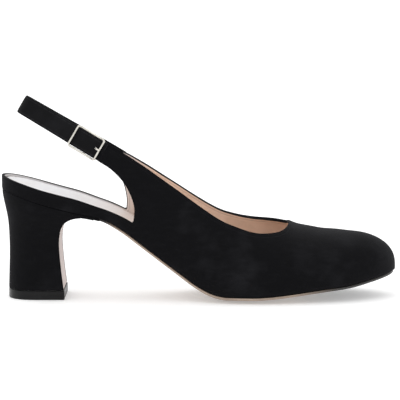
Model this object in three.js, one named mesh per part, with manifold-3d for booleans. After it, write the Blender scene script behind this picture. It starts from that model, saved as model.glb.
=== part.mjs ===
// Slingback pump for the right foot, in millimetres, with the toe along +X, the inner side of
// the foot along +Y and up along +Z. The origin is the middle of the toplift's face on the floor.
import * as THREE from 'three';
import { mergeVertices } from 'three/addons/utils/BufferGeometryUtils.js';
import Module from 'manifold-3d';

const wasm = await Module();
wasm.setup();

// Lengths along the shoe
const shoeLength = 236.4;
const backOverhang = 21.3;
const liftBack = 17.6;
const liftFront = 16.6;
const lipEnd = 38;
const breastReach = 16.6;
const breastWaist = 13.6;
const heelLean = 4.3;

// Widths, each from the foot's middle line
const seatHalf = 26.5;
const waistOuterHalf = 24.8;
const waistInnerHalf = 22.6;
const ballOuterHalf = 37;
const ballInnerHalf = 39;
const liftHalf = 18.2;
const toeSwing = 5;

// Heights
const heelRise = 64.3;
const toeSpring = 14;
const soleCamber = 2.1;
const archTop = 49.7;
const widestLevel = 9;
const instepHeight = 75;
const sideHeight = 48.6;
const toeBoxHeight = 28.6;
const bandHeight = 8.3;
const innerRise = 4.6;
const liftHeight = 5.4;

// Thicknesses and clearances
const wall = 1.7;
const soleThickness = 1.4;
const waistThickness = 1.2;
const insoleThickness = 3;
const featherTuck = 2.4;
const gap = 0.3;
const flapInset = 3;
const soleInset = 0.5;
const liftInset = 0.5;
const sockDrop = 1.1;
const seamEase = 0.2;
const insoleEase = 0.6;
const weldDistance = 0.02;
const blunt = 2e-4;

// Shapes that only cut: how far they run past the shoe and past a face that they meet
const cutMargin = 30;
const overrun = 6;
const pocketOpen = 4;
const pocketDeep = 2;
const pocketBack = 0.04;
const pocketUp = 0.03;
const collarBlend = 22;

// Sling strap and buckle
const strapWidth = 11.2;
const strapThickness = 1.9;
const strapFall = THREE.MathUtils.degToRad(30.4);
const strapReach = 54.4;
const strapLoopHalf = 4.2;
const strapStraight = 23;
const buckleLength = 20;
const barWidth = 1.2;
const barDepth = 1.2;
const barSlim = 0.07;
const prongRadius = 0.55;

const heelBack = -backOverhang;

const suede = { color: 0x18181a, roughness: 0.95, metalness: 0 };
const soleLeather = { color: 0xa08a74, roughness: 0.6, metalness: 0 };
const sockLeather = { color: 0xd8cfc8, roughness: 0.7, metalness: 0 };
const rubber = { color: 0x202022, roughness: 0.5, metalness: 0 };
const champagneMetal = { color: 0xcfc8ba, roughness: 0.3, metalness: 1 };

// The bottom of the shoe from the back of the seat to the tip of the toe: along is the share of
// the length, heel and toe are shares of heelRise and toeSpring, camber is the share of
// soleCamber by which the edges stand above the middle, waist is how much of the sole is thin.
const bottomRows = [
  { along: 0, heel: 1, toe: 0, camber: 0, waist: 1 },
  { along: 0.043, heel: 0.95, toe: 0, camber: 0, waist: 1 },
  { along: 0.103, heel: 0.879, toe: 0, camber: 0, waist: 1 },
  { along: 0.178, heel: 0.806, toe: 0, camber: 0, waist: 1 },
  { along: 0.251, heel: 0.743, toe: 0, camber: 0, waist: 1 },
  { along: 0.302, heel: 0.645, toe: 0, camber: 0, waist: 1 },
  { along: 0.352, heel: 0.508, toe: 0, camber: 0, waist: 1 },
  { along: 0.402, heel: 0.366, toe: 0, camber: 0.05, waist: 0.9 },
  { along: 0.452, heel: 0.222, toe: 0, camber: 0.3, waist: 0.6 },
  { along: 0.477, heel: 0.149, toe: 0, camber: 0.5, waist: 0.4 },
  { along: 0.502, heel: 0.084, toe: 0, camber: 0.72, waist: 0.2 },
  { along: 0.527, heel: 0.036, toe: 0, camber: 0.88, waist: 0.1 },
  { along: 0.552, heel: 0.008, toe: 0, camber: 0.97, waist: 0 },
  { along: 0.57, heel: 0, toe: 0, camber: 1, waist: 0 },
  { along: 0.635, heel: 0, toe: 0, camber: 1, waist: 0 },
  { along: 0.676, heel: 0, toe: 0.04, camber: 0.98, waist: 0 },
  { along: 0.726, heel: 0, toe: 0.145, camber: 0.88, waist: 0 },
  { along: 0.801, heel: 0, toe: 0.34, camber: 0.64, waist: 0 },
  { along: 0.877, heel: 0, toe: 0.5, camber: 0.5, waist: 0 },
  { along: 0.93, heel: 0, toe: 0.7, camber: 0.4, waist: 0 },
  { along: 1, heel: 0, toe: 0.99, camber: 0.2, waist: 0 },
];

// Outline of the last seen from above, as shares of the half widths at seat, waist and ball.
const outerRows = [
  { along: 0, seat: 1, waist: 0, ball: 0 },
  { along: 0.114, seat: 1, waist: 0, ball: 0 },
  { along: 0.217, seat: 0.7, waist: 0.3, ball: 0 },
  { along: 0.323, seat: 0, waist: 1, ball: 0 },
  { along: 0.407, seat: 0, waist: 0.93, ball: 0.07 },
  { along: 0.492, seat: 0, waist: 0.56, ball: 0.44 },
  { along: 0.577, seat: 0, waist: 0.15, ball: 0.85 },
  { along: 0.64, seat: 0, waist: 0, ball: 1 },
  { along: 1, seat: 0, waist: 0, ball: 1 },
];
const innerRows = [
  { along: 0, seat: 1, waist: 0, ball: 0 },
  { along: 0.114, seat: 1, waist: 0, ball: 0 },
  { along: 0.217, seat: 0.6, waist: 0.4, ball: 0 },
  { along: 0.323, seat: 0, waist: 1, ball: 0 },
  { along: 0.407, seat: 0, waist: 0.99, ball: 0.01 },
  { along: 0.492, seat: 0, waist: 0.72, ball: 0.28 },
  { along: 0.598, seat: 0, waist: 0.26, ball: 0.74 },
  { along: 0.7246, seat: 0, waist: 0, ball: 1 },
  { along: 1, seat: 0, waist: 0, ball: 1 },
];

// The last above the feather line: ridge is its top as a share of instepHeight or, in the toe,
// of toeBoxHeight, level is its widest line as a share of widestLevel, tuck the share of
// featherTuck by which it draws in below that, square the power of its rounded section, swing
// the share of toeSwing.
const lastRows = [
  { along: 0, instep: 1.01, toe: 0, level: 0.67, tuck: 0.15, square: 2.3, swing: 0 },
  { along: 0.27, instep: 1.03, toe: 0, level: 0.78, tuck: 0.2, square: 2.3, swing: 0 },
  { along: 0.35, instep: 1, toe: 0, level: 0.89, tuck: 0.4, square: 2.3, swing: 0.1 },
  { along: 0.43, instep: 0.95, toe: 0, level: 1, tuck: 0.6, square: 2.3, swing: 0.25 },
  { along: 0.5, instep: 0.925, toe: 0, level: 1, tuck: 0.8, square: 2.25, swing: 0.45 },
  { along: 0.56, instep: 0.84, toe: 0, level: 1, tuck: 1, square: 2.2, swing: 0.65 },
  { along: 0.64, instep: 0.655, toe: 0, level: 1, tuck: 1, square: 2.2, swing: 0.85 },
  { along: 0.73, instep: 0.518, toe: 0, level: 1, tuck: 1, square: 2.2, swing: 0.97 },
  { along: 0.78, instep: 0.2275, toe: 0.602, level: 0.94, tuck: 1, square: 2.25, swing: 1 },
  { along: 0.83, instep: 0, toe: 1.086, level: 0.89, tuck: 1, square: 2.3, swing: 1 },
  { along: 0.88, instep: 0, toe: 1.0, level: 0.78, tuck: 0.9, square: 2.35, swing: 1 },
  { along: 1, instep: 0, toe: 0.765, level: 0.38, tuck: 0.35, square: 2.3, swing: 1 },
];
const heelRoundEnd = 0.114;
const heelRoundPower = 2.2;
const outerToeStart = 0.64;
const innerToeStart = 0.7246;
const toeRoundPower = 2.05;
const toeDropStart = 0.872;
const toeDropPower = 2.4;

// The edge of the upper: above is the share of sideHeight by which the topline stands over the
// feather line, from the sling's end to the throat.
const toplineRows = [
  { along: 0.2675, above: 0.945 },
  { along: 0.303, above: 0.945 },
  { along: 0.35, above: 0.97 },
  { along: 0.41, above: 0.985 },
  { along: 0.46, above: 0.99 },
  { along: 0.502, above: 0.985 },
  { along: 0.53, above: 0.955 },
  { along: 0.56, above: 0.905 },
  { along: 0.6, above: 0.83 },
  { along: 0.65, above: 0.758 },
  { along: 0.69, above: 0.748 },
  { along: 0.73, above: 0.758 },
];
// How much higher the topline stands on the inner side of the foot, as a share of innerRise.
const innerLiftRows = [
  { along: 0.25, lift: -1 },
  { along: 0.305, lift: -0.783 },
  { along: 0.35, lift: -0.565 },
  { along: 0.41, lift: -0.304 },
  { along: 0.48, lift: -0.1 },
  { along: 0.53, lift: 0.07 },
  { along: 0.6, lift: 0.42 },
  { along: 0.65, lift: 0.87 },
  { along: 0.69, lift: 0.72 },
  { along: 0.73, lift: 0.05 },
];
// The rim of the seat band over the feather line, as a share of bandHeight.
const rimRows = [
  { along: 0, above: 0.9 },
  { along: 0.025, above: 0.93 },
  { along: 0.104, above: 1 },
  { along: 0.179, above: 1 },
  { along: 0.253, above: 0.79 },
  { along: 0.3025, above: 0.94 },
  { along: 0.335, above: 1.07 },
];
// The back edge of the quarter, from the corner on the band up to the sling's lower corner: back
// is the share of the way from the corner to the sling's end, up the share of the height.
const quarterRows = [
  { back: 0, up: 0 },
  { back: -0.035, up: 0.2 },
  { back: 0, up: 0.33 },
  { back: 0.09, up: 0.47 },
  { back: 0.21, up: 0.6 },
  { back: 0.38, up: 0.73 },
  { back: 0.64, up: 0.87 },
  { back: 1, up: 1 },
];
const cornerAlong = 0.335;
const innerCornerAlong = 0.312;
const slingAlong = 0.2675;
const innerSlingAlong = 0.305;
const throatAlong = 0.728;

// The heel breast, which the sole's flap runs down, from the arch to the toplift: forward is the
// share of breastReach in front of the heel's slimmest place, up the share of archTop.
const breastRows = [
  { forward: 1, up: 1 },
  { forward: 0.759, up: 0.998 },
  { forward: 0.542, up: 0.988 },
  { forward: 0.343, up: 0.962 },
  { forward: 0.199, up: 0.924 },
  { forward: 0.096, up: 0.868 },
  { forward: 0.036, up: 0.8 },
  { forward: 0, up: 0.7 },
  { forward: 0.003, up: 0.6 },
  { forward: 0.036, up: 0.46 },
  { forward: 0.084, up: 0.3 },
  { forward: 0.127, up: 0.19 },
  { forward: 0.151, up: 0.12 },
];

// The heel block at shares of heelRise: flare runs from the toplift's width to the seat's, drop
// is the share of heelLean by which its back lies in front of the seat's back.
const heelRows = [
  { up: 0.05, flare: 0, drop: 0.837 },
  { up: 0.25, flare: 0, drop: 0.93 },
  { up: 0.45, flare: 0.02, drop: 1 },
  { up: 0.6, flare: 0.16, drop: 0.953 },
  { up: 0.7, flare: 0.43, drop: 0.86 },
  { up: 0.77, flare: 0.7, drop: 0.721 },
  { up: 0.84, flare: 0.84, drop: 0.512 },
  { up: 0.92, flare: 0.93, drop: 0.256 },
  { up: 1, flare: 0.98, drop: 0.081 },
  { up: 1.2, flare: 0.98, drop: 0.07 },
];

// A smooth curve through one column of a table, without overshoot between its rows.
function curve(rows, column, key = 'along') {
  const at = rows.map((row) => row[key]);
  const value = rows.map((row) => row[column]);
  const secant = [];
  for (let i = 0; i + 1 < at.length; i++) secant.push((value[i + 1] - value[i]) / (at[i + 1] - at[i]));
  const slope = at.map((_, i) => {
    if (i === 0) return secant[0];
    if (i === at.length - 1) return secant[i - 1];
    if (secant[i - 1] * secant[i] <= 0) return 0;
    return (2 * secant[i - 1] * secant[i]) / (secant[i - 1] + secant[i]);
  });
  return (place) => {
    let i = 0;
    while (i < at.length - 2 && place > at[i + 1]) i++;
    const span = at[i + 1] - at[i];
    const t = THREE.MathUtils.clamp((place - at[i]) / span, 0, 1);
    const rest = 1 - t;
    const start = value[i] * (1 + 2 * t) * rest * rest + slope[i] * span * t * rest * rest;
    return start + value[i + 1] * (3 - 2 * t) * t * t - slope[i + 1] * span * t * t * rest;
  };
}

const bottom = {
  heel: curve(bottomRows, 'heel'),
  toe: curve(bottomRows, 'toe'),
  camber: curve(bottomRows, 'camber'),
  waist: curve(bottomRows, 'waist'),
};
const outer = {
  seat: curve(outerRows, 'seat'),
  waist: curve(outerRows, 'waist'),
  ball: curve(outerRows, 'ball'),
};
const inner = {
  seat: curve(innerRows, 'seat'),
  waist: curve(innerRows, 'waist'),
  ball: curve(innerRows, 'ball'),
};
const last = {
  instep: curve(lastRows, 'instep'),
  toe: curve(lastRows, 'toe'),
  level: curve(lastRows, 'level'),
  tuck: curve(lastRows, 'tuck'),
  square: curve(lastRows, 'square'),
  swing: curve(lastRows, 'swing'),
};
const toplineAbove = curve(toplineRows, 'above');
const rimAbove = curve(rimRows, 'above');

const shareOf = (x) => (x - heelBack) / shoeLength;
const placeOf = (along) => heelBack + along * shoeLength;

// Height of the sole's underside along its middle, and of its edge above that.
const middleHeight = (along) => bottom.heel(along) * heelRise + bottom.toe(along) * toeSpring;
const camberAt = (along) => bottom.camber(along) * soleCamber;
const thicknessAt = (along) => THREE.MathUtils.lerp(soleThickness, waistThickness, bottom.waist(along));

// Share of the camber that is left at one place across the sole: flat in the middle, 1 at the edge.
function camberShare(across) {
  const flat = 0.4;
  const beyond = Math.max(0, (Math.abs(across) - flat) / (1 - flat));
  return beyond * beyond;
}

// Height of the feather line, where the upper meets the sole or the heel.
function feather(along) {
  const step = 0.004;
  const low = middleHeight(Math.max(0, along - step));
  const high = middleHeight(Math.min(1, along + step));
  const run = (Math.min(1, along + step) - Math.max(0, along - step)) * shoeLength;
  const lean = Math.hypot(1, (high - low) / run);
  return middleHeight(along) + camberAt(along) + (thicknessAt(along) + gap + seamEase) * lean;
}

// What is left of a width or height near a rounded end, 1 before the rounding and 0 at its end.
function rounded(place, start, end, power) {
  const share = THREE.MathUtils.clamp((place - start) / (end - start), 0, 1);
  return Math.pow(1 - Math.pow(share, power), 1 / power);
}

// Both sides of the outline at one place, drawn in by inset all round.
function outline(along, inset) {
  const shorter = inset / shoeLength;
  const middle = last.swing(along) * toeSwing;
  const outerFull = outer.seat(along) * seatHalf + outer.waist(along) * waistOuterHalf
    + outer.ball(along) * ballOuterHalf;
  const innerFull = inner.seat(along) * seatHalf + inner.waist(along) * waistInnerHalf
    + inner.ball(along) * ballInnerHalf;
  const heelShare = rounded(heelRoundEnd - along, 0, heelRoundEnd - shorter, heelRoundPower);
  const outerShare = heelShare * rounded(along, outerToeStart, 1 - shorter, toeRoundPower);
  const innerShare = heelShare * rounded(along, innerToeStart, 1 - shorter, toeRoundPower);
  return {
    middle,
    outerEdge: middle - (outerFull + middle - inset) * outerShare,
    innerEdge: middle + (innerFull - middle - inset) * innerShare,
  };
}

// Top of the last at one place, drawn in by inset.
function ridge(along, inset) {
  const base = feather(along) + last.level(along) * widestLevel * 0.5;
  const full = feather(along) + last.instep(along) * instepHeight + last.toe(along) * toeBoxHeight - inset;
  const end = 1 - inset / shoeLength;
  return base + (full - base) * rounded(along, toeDropStart, end, toeDropPower);
}

// Places along the shoe, closer together towards both rounded ends.
function stations(count, from, to) {
  const places = [];
  for (let i = 0; i <= count; i++) {
    const share = (1 - Math.cos((Math.PI * i) / count)) / 2;
    places.push(from + (to - from) * share);
  }
  return places;
}

// A closed solid from a grid of rings of points, the first and last ring filled with flat fans.
function ringSolid(rings) {
  const points = [];
  const faces = [];
  const size = rings[0].length;
  rings.forEach((ring) => ring.forEach((point) => points.push(...point)));
  for (let i = 0; i + 1 < rings.length; i++) {
    for (let j = 0; j < size; j++) {
      const next = (j + 1) % size;
      const a = i * size + j;
      const b = i * size + next;
      const c = (i + 1) * size + next;
      const d = (i + 1) * size + j;
      faces.push(a, b, c, a, c, d);
    }
  }
  const lastRing = (rings.length - 1) * size;
  for (let j = 1; j + 1 < size; j++) {
    faces.push(0, j + 1, j);
    faces.push(lastRing, lastRing + j, lastRing + j + 1);
  }
  const geometry = new THREE.BufferGeometry();
  geometry.setAttribute('position', new THREE.Float32BufferAttribute(points, 3));
  geometry.setIndex(faces);
  return solidOf(geometry);
}

// A closed geometry as a solid that can be joined and cut.
function solidOf(geometry) {
  const bare = geometry.clone();
  bare.deleteAttribute('normal');
  bare.deleteAttribute('uv');
  const merged = mergeVertices(bare, 1e-4);
  const index = merged.index.array;
  const kept = [];
  for (let i = 0; i < index.length; i += 3) {
    const [a, b, c] = [index[i], index[i + 1], index[i + 2]];
    if (a !== b && b !== c && c !== a) kept.push(a, b, c);
  }
  return new wasm.Manifold(new wasm.Mesh({
    numProp: 3,
    vertProperties: new Float32Array(merged.attributes.position.array),
    triVerts: new Uint32Array(kept),
  }));
}

// A solid as a named mesh with its own material.
function meshOf(name, solid, finish) {
  const shape = solid.simplify(weldDistance).getMesh();
  const geometry = new THREE.BufferGeometry();
  geometry.setAttribute('position', new THREE.BufferAttribute(new Float32Array(shape.vertProperties), 3));
  geometry.setIndex(new THREE.BufferAttribute(new Uint32Array(shape.triVerts), 1));
  geometry.computeVertexNormals();
  const mesh = new THREE.Mesh(geometry, new THREE.MeshStandardMaterial(finish));
  mesh.name = name;
  return mesh;
}

// Solid of the last drawn in by inset, whose flat bottom lies drop below the feather line.
function lastSolid(inset, drop) {
  const wallSteps = 11;
  const tuckSteps = 2;
  const tuckTurn = THREE.MathUtils.degToRad(60);
  const shorter = inset / shoeLength;
  const rings = stations(46, shorter + blunt, 1 - shorter - blunt).map((along) => {
    const x = placeOf(along);
    const edge = outline(along, inset);
    const low = feather(along);
    const lower = Math.sqrt(rounded(along, toeDropStart, 1 - shorter, toeDropPower));
    const level = low + last.level(along) * widestLevel * lower;
    const high = Math.max(ridge(along, inset), level);
    const power = 2 / last.square(along);
    const tuck = last.tuck(along) * featherTuck;
    const ring = [];
    const side = (to) => {
      const reach = to - edge.middle;
      const shrink = Math.abs(reach) < tuck ? 0 : tuck / Math.abs(reach);
      const points = [];
      points.push([x, edge.middle + reach * (1 - shrink), low - drop]);
      for (let i = 0; i < tuckSteps; i++) {
        const turn = tuckTurn * (1 - i / tuckSteps);
        const drawn = shrink * (1 - Math.cos(turn)) / (1 - Math.cos(tuckTurn));
        const z = level - (level - low) * Math.sin(turn) / Math.sin(tuckTurn);
        points.push([x, edge.middle + reach * (1 - drawn), z + (i === 0 ? 1e-3 * drop : 0)]);
      }
      for (let i = 0; i < wallSteps; i++) {
        const turn = (Math.PI / 2) * (i / wallSteps);
        const y = edge.middle + reach * Math.cos(turn) ** power;
        points.push([x, y, level + (high - level) * Math.sin(turn) ** power]);
      }
      return points;
    };
    ring.push(...side(edge.outerEdge));
    ring.push([x, edge.middle, high]);
    ring.push(...side(edge.innerEdge).reverse());
    return drop > 0 ? ring : ring.slice(1, -1);
  });
  return ringSolid(rings.map((ring) => ring.reverse()));
}

// A block right across the shoe between profiles seen from the side, one for each place across.
function acrossBlock(sections) {
  const size = sections[0].points.length;
  const contour = sections[0].points.map((point) => new THREE.Vector2(point.x, point.z));
  const caps = THREE.ShapeUtils.triangulateShape(contour, []);
  const points = [];
  for (const section of sections) {
    for (const point of section.points) points.push(point.x, section.y, point.z);
  }
  const faces = [];
  for (let i = 0; i + 1 < sections.length; i++) {
    for (let j = 0; j < size; j++) {
      const a = i * size + j;
      const b = i * size + ((j + 1) % size);
      faces.push(a, b + size, b, a, a + size, b + size);
    }
  }
  const far = (sections.length - 1) * size;
  for (const [a, b, c] of caps) {
    faces.push(a, b, c);
    faces.push(far + a, far + c, far + b);
  }
  const geometry = new THREE.BufferGeometry();
  geometry.setAttribute('position', new THREE.Float32BufferAttribute(points, 3));
  geometry.setIndex(faces);
  return solidOf(geometry);
}

const rimHeight = (along) => feather(along) + rimAbove(along) * bandHeight;

// What lies above the edge of the upper on one side, seen from the side, counter-clockwise.
function collarProfile(side) {
  const corner = { x: placeOf(side.corner), z: rimHeight(side.corner) };
  const edgeHeight = (along) => {
    const above = toplineAbove(along) * sideHeight + side.lift(along) * innerRise;
    return feather(along) + above;
  };
  const slingTop = { x: placeOf(side.sling), z: edgeHeight(side.sling) };
  const slingLow = {
    x: slingTop.x - strapWidth * Math.sin(strapFall),
    z: slingTop.z - strapWidth * Math.cos(strapFall),
  };
  const above = heelRise + instepHeight + cutMargin;
  const points = [{ x: heelBack - cutMargin, z: above }];
  points.push({ x: heelBack - cutMargin, z: rimHeight(0) + widestLevel });
  for (const along of stations(14, 0, side.corner)) points.push({ x: placeOf(along), z: rimHeight(along) });
  const edge = quarterRows.map((row) => new THREE.Vector2(
    THREE.MathUtils.lerp(corner.x, slingLow.x, row.back),
    THREE.MathUtils.lerp(corner.z, slingLow.z, row.up),
  ));
  const arc = new THREE.SplineCurve(edge).getPoints(16).slice(1);
  arc.forEach((point) => points.push({ x: point.x, z: point.y }));
  const edgeSteps = 28;
  for (let i = 0; i <= edgeSteps; i++) {
    const along = THREE.MathUtils.lerp(side.sling, throatAlong, i / edgeSteps);
    points.push({ x: placeOf(along), z: edgeHeight(along) });
  }
  points.push({ x: placeOf(throatAlong) + cutMargin, z: above });
  return points;
}

const outerSide = { corner: cornerAlong, sling: slingAlong, lift: () => 0 };
const innerSide = { corner: innerCornerAlong, sling: innerSlingAlong, lift: curve(innerLiftRows, 'lift') };

// Both side walls of the last, drawn in by inset, at one place along and one height.
function wallAt(along, height, inset) {
  const edge = outline(along, inset);
  const level = feather(along) + last.level(along) * widestLevel;
  const share = Math.max(0, (height - level) / (ridge(along, inset) - level));
  const square = last.square(along);
  const drawn = Math.pow(1 - Math.pow(share, square), 1 / square);
  return {
    outerWall: edge.middle + (edge.outerEdge - edge.middle) * drawn,
    innerWall: edge.middle + (edge.innerEdge - edge.middle) * drawn,
  };
}

// The wall round the last, trimmed by the edge that changes from the outer side's to the inner's.
function upperSolid() {
  const reach = ballInnerHalf + cutMargin;
  const outerPoints = collarProfile(outerSide);
  const innerPoints = collarProfile(innerSide);
  const cut = acrossBlock([
    { y: -reach, points: outerPoints },
    { y: -collarBlend, points: outerPoints },
    { y: collarBlend, points: innerPoints },
    { y: reach, points: innerPoints },
  ]);
  return lastSolid(0, 0).subtract(lastSolid(wall, overrun)).subtract(cut);
}

// Width and back of the heel block at one height.
const heelFlare = curve(heelRows, 'flare', 'up');
const heelDrop = curve(heelRows, 'drop', 'up');
const heelHalf = (z) => liftHalf + (seatHalf - liftHalf) * heelFlare(z / heelRise);
const heelBackAt = (z) => heelBack + heelDrop(z / heelRise) * heelLean;

// The way of the sole's underside from the tip of the toe under the arch and down the breast.
function solePath() {
  const flapTurn = { from: 0.335, to: 0.262 };
  const path = [];
  for (const along of stations(34, 1, 0.251)) {
    const inset = last.tuck(along) * featherTuck + soleInset;
    const tip = Math.min(along, 1 - inset / shoeLength - blunt);
    const edge = outline(tip, inset);
    const z = middleHeight(tip);
    const flap = THREE.MathUtils.smoothstep(flapTurn.from - along, 0, flapTurn.from - flapTurn.to);
    const flapHalf = heelHalf(archTop) - flapInset;
    path.push({
      x: placeOf(tip),
      z,
      camber: camberAt(tip),
      thick: thicknessAt(tip),
      outerEdge: THREE.MathUtils.lerp(edge.outerEdge, -flapHalf, flap),
      innerEdge: THREE.MathUtils.lerp(edge.innerEdge, flapHalf, flap),
    });
  }
  for (const row of breastRows) {
    const z = row.up * archTop;
    const half = heelHalf(z) - flapInset;
    const x = breastWaist + row.forward * breastReach;
    path.push({ x, z, camber: 0, thick: waistThickness, outerEdge: -half, innerEdge: half });
  }
  const apart = (a, b) => Math.hypot(a.x - b.x, a.z - b.z);
  return path.filter((place, i) => i === 0 || apart(place, path[i - 1]) > weldDistance * 2.5);
}

// The sole as a solid, or with a clearance the room that it needs in the heel.
function soleSolid(clearance) {
  const path = solePath();
  const end = path[path.length - 1];
  if (clearance > 0) {
    path.push({ ...end, z: end.z - pocketDeep });
    path.forEach((place) => {
      place.x -= pocketBack;
      place.z += pocketUp;
    });
  }
  const columns = 8;
  const outward = clearance > 0 ? pocketOpen : 0;
  const rings = path.map((place, i) => {
    const before = path[Math.max(0, i - 1)];
    const after = path[Math.min(path.length - 1, i + 1)];
    const run = Math.hypot(before.x - after.x, before.z - after.z);
    const normal = { x: -(before.z - after.z) / run, z: (before.x - after.x) / run };
    const low = [];
    const high = [];
    for (let j = 0; j <= columns; j++) {
      const across = -1 + (2 * j) / columns;
      const middle = (place.outerEdge + place.innerEdge) / 2;
      const half = (place.innerEdge - place.outerEdge) / 2 + clearance;
      const y = middle + half * across;
      const z = place.z + place.camber * camberShare(across);
      const thick = place.thick + clearance;
      low.push([place.x - normal.x * outward, y, z - normal.z * outward]);
      high.push([place.x + normal.x * thick, y, z + normal.z * thick]);
    }
    return [...low, ...high.reverse()];
  });
  return ringSolid(rings.map((ring) => ring.reverse()));
}

// Outline of the heel from above at one height: a round back and two straight sides.
function heelOutline(half, back, front, round) {
  const steps = 12;
  const power = 2 / 2.3;
  const points = [[front, -half]];
  for (let i = 0; i <= steps; i++) {
    const turn = (Math.PI * i) / steps;
    const side = Math.cos(turn);
    const y = -half * Math.sign(side) * Math.abs(side) ** power;
    points.push([back + round - round * Math.sin(turn) ** power, y]);
  }
  points.push([front, half]);
  return points;
}

// The block between toplift and seat, with the room for the sole's flap in its breast.
function heelSolid() {
  const front = lipEnd + cutMargin;
  const levels = 14;
  const floor = liftHeight + gap;
  const rings = [];
  for (let i = 0; i <= levels; i++) {
    const z = floor + ((heelRise + overrun - floor) * i) / levels;
    const half = heelHalf(z);
    const round = half * 0.98;
    rings.push(heelOutline(half, heelBackAt(z), front, round).map(([x, y]) => [x, y, z]));
  }
  const stack = ringSolid(rings.map((ring) => ring.reverse()));
  const lipShare = shareOf(lipEnd);
  const profile = [{ x: heelBack - cutMargin, z: floor }];
  const breast = breastRows.map((row) => ({
    x: breastWaist + row.forward * breastReach,
    z: row.up * archTop,
  })).reverse();
  profile.push({ x: breast[0].x + 1, z: floor });
  profile.push(...breast);
  profile.push({ x: lipEnd, z: middleHeight(lipShare) });
  const tops = stations(36, lipShare, 0).map((along) => ({ x: placeOf(along), z: feather(along) - gap }));
  profile.push(...tops);
  profile.push({ x: heelBack - cutMargin, z: tops[tops.length - 1].z });
  const reach = seatHalf + cutMargin;
  const slab = acrossBlock([{ y: -reach, points: profile }, { y: reach, points: profile }]);
  return stack.intersect(slab).subtract(soleSolid(gap));
}

// The wearing piece under the heel.
function topliftSolid() {
  const half = liftHalf - liftInset;
  const points = heelOutline(half, -liftBack, liftFront, half);
  const shape = new THREE.Shape(points.map(([x, y]) => new THREE.Vector2(x, y)));
  return solidOf(new THREE.ExtrudeGeometry(shape, { depth: liftHeight, bevelEnabled: false }));
}

// The insole with its sock, thick under the heel and waist and thin under the toes.
function insoleSolid() {
  const columns = 8;
  const inset = (along) => last.tuck(along) * featherTuck + wall + insoleEase;
  const heelEnd = inset(0) / shoeLength;
  const toeEnd = 1 - inset(1 - inset(1) / shoeLength) / shoeLength;
  const rings = stations(34, 3 * blunt, 1 - 3 * blunt).map((share) => {
    const along = THREE.MathUtils.lerp(heelEnd, toeEnd, share);
    const edge = outline(along, inset(along));
    const flat = THREE.MathUtils.smoothstep(along, cornerAlong, 0.58);
    const seat = rimAbove(Math.min(along, cornerAlong)) * bandHeight - sockDrop;
    const thick = THREE.MathUtils.lerp(seat, insoleThickness, flat);
    const low = [];
    const high = [];
    for (let j = 0; j <= columns; j++) {
      const across = -1 + (2 * j) / columns;
      const y = THREE.MathUtils.lerp(edge.outerEdge, edge.innerEdge, j / columns);
      const dip = camberAt(along) * (1 - camberShare(across));
      low.push([placeOf(along), y, feather(along) + gap - dip]);
      high.push([placeOf(along), y, feather(along) + thick - dip * 0.5]);
    }
    return [...low, ...high.reverse()];
  });
  return ringSolid(rings);
}

// The sling lies in a frame of its own, with x along it towards the toe, z across its width and
// its middle in the plane of z 0; the origin is where it meets the outer quarter.
const slingEdge = feather(slingAlong) + toplineAbove(slingAlong) * sideHeight;
const slingOrigin = new THREE.Vector3(
  placeOf(slingAlong) - (strapWidth / 2) * Math.sin(strapFall),
  0,
  slingEdge - (strapWidth / 2) * Math.cos(strapFall),
);
const slingOuterY = wallAt(shareOf(slingOrigin.x), slingOrigin.z, wall / 2).outerWall;
const innerSlingX = placeOf(innerSlingAlong) - (strapWidth / 2) * Math.sin(strapFall);
const innerSlingZ = feather(innerSlingAlong) + toplineAbove(innerSlingAlong) * sideHeight
  + innerSide.lift(innerSlingAlong) * innerRise - (strapWidth / 2) * Math.cos(strapFall);
const slingInnerY = wallAt(shareOf(innerSlingX), innerSlingZ, wall / 2).innerWall;
const slingInnerX = (innerSlingX - slingOrigin.x) * Math.cos(strapFall)
  - (innerSlingZ - slingOrigin.z) * Math.sin(strapFall);
const buckleTurn = Math.atan2(-slingOuterY - strapLoopHalf * 1.35, strapReach * 0.86);

// Middle line of the strap from the outer quarter round the back of the heel to the inner one.
function slingLine() {
  const points = [
    new THREE.Vector2(-gap - strapThickness / 6, slingOuterY),
    new THREE.Vector2(-strapStraight / 2, slingOuterY + (strapStraight / 2) * Math.tan(buckleTurn)),
    new THREE.Vector2(-strapStraight, slingOuterY + strapStraight * Math.tan(buckleTurn)),
    new THREE.Vector2(-strapReach * 0.86, -strapLoopHalf * 1.35),
    new THREE.Vector2(-strapReach * 0.965, -strapLoopHalf * 0.85),
    new THREE.Vector2(-strapReach, 0),
    new THREE.Vector2(-strapReach * 0.965, strapLoopHalf * 0.85),
    new THREE.Vector2(-strapReach * 0.86, strapLoopHalf * 1.35),
    new THREE.Vector2(-strapStraight, slingInnerY * 0.62),
    new THREE.Vector2(slingInnerX - gap - strapThickness / 3, slingInnerY),
  ];
  return new THREE.SplineCurve(points);
}

// The strap, with a hole that the prong passes through.
function slingStrapSolid() {
  const line = slingLine();
  const steps = 56;
  const outside = [];
  const inside = [];
  for (let i = 0; i <= steps; i++) {
    const point = line.getPoint(i / steps);
    const ahead = line.getTangent(i / steps);
    const half = strapThickness / 2;
    outside.push(new THREE.Vector2(point.x + ahead.y * half, point.y - ahead.x * half));
    inside.push(new THREE.Vector2(point.x - ahead.y * half, point.y + ahead.x * half));
  }
  const shape = new THREE.Shape([...outside, ...inside.reverse()]);
  const strap = new THREE.ExtrudeGeometry(shape, { depth: strapWidth, bevelEnabled: false });
  strap.translate(0, 0, -strapWidth / 2);
  const hole = prongGeometry(prongRadius + gap).applyMatrix4(buckleFrame);
  return solidOf(strap).subtract(solidOf(hole));
}

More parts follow.
